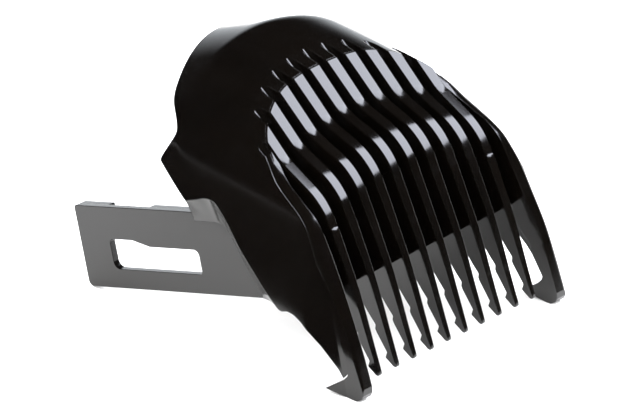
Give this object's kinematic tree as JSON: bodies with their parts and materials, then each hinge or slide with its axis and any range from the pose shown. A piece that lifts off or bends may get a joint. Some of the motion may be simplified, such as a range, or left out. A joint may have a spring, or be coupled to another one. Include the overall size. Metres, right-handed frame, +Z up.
{
  "type": "hair clipper guard comb",
  "caption": "Push-on clipper guard comb: slim spaced teeth between two side arms, a domed hood over the clipper head and two slotted slide rails.",
  "frame": {"origin": "centre of the footprint, on the surface the comb stands on", "axes": "+X across the comb towards its right rail, +Y towards the open rear of the rails, +Z up; the comb teeth point towards -Y and down"},
  "size_m": [0.05, 0.0616, 0.0424],
  "materials": {
    "gloss_black": "polished moulded black",
    "inner_black": "moulded black, slightly softer gloss",
    "tooth_black": "polished moulded black, worn crests",
    "rail_black": "moulded black with light rub marks"
  },
  "bodies": {
    "root": {"hood_crown": "gloss_black", "hood_brim": "gloss_black", "left_cheek": "gloss_black", "right_cheek": "gloss_black", "left_arm": "gloss_black", "right_arm": "gloss_black", "tooth_web": "inner_black", "tooth_01": "tooth_black", "tooth_02": "tooth_black", "tooth_03": "tooth_black", "tooth_04": "tooth_black", "tooth_05": "tooth_black", "tooth_06": "tooth_black", "tooth_07": "tooth_black", "tooth_08": "tooth_black", "tooth_09": "tooth_black", "tooth_10": "tooth_black", "left_rail": "rail_black", "right_rail": "rail_black", "left_rail_end_pad": "rail_black", "right_rail_end_pad": "rail_black", "left_rail_root_pad": "rail_black", "right_rail_root_pad": "rail_black", "left_rail_shoulder": "gloss_black", "right_rail_shoulder": "gloss_black"}
  },
  "joints": []
}
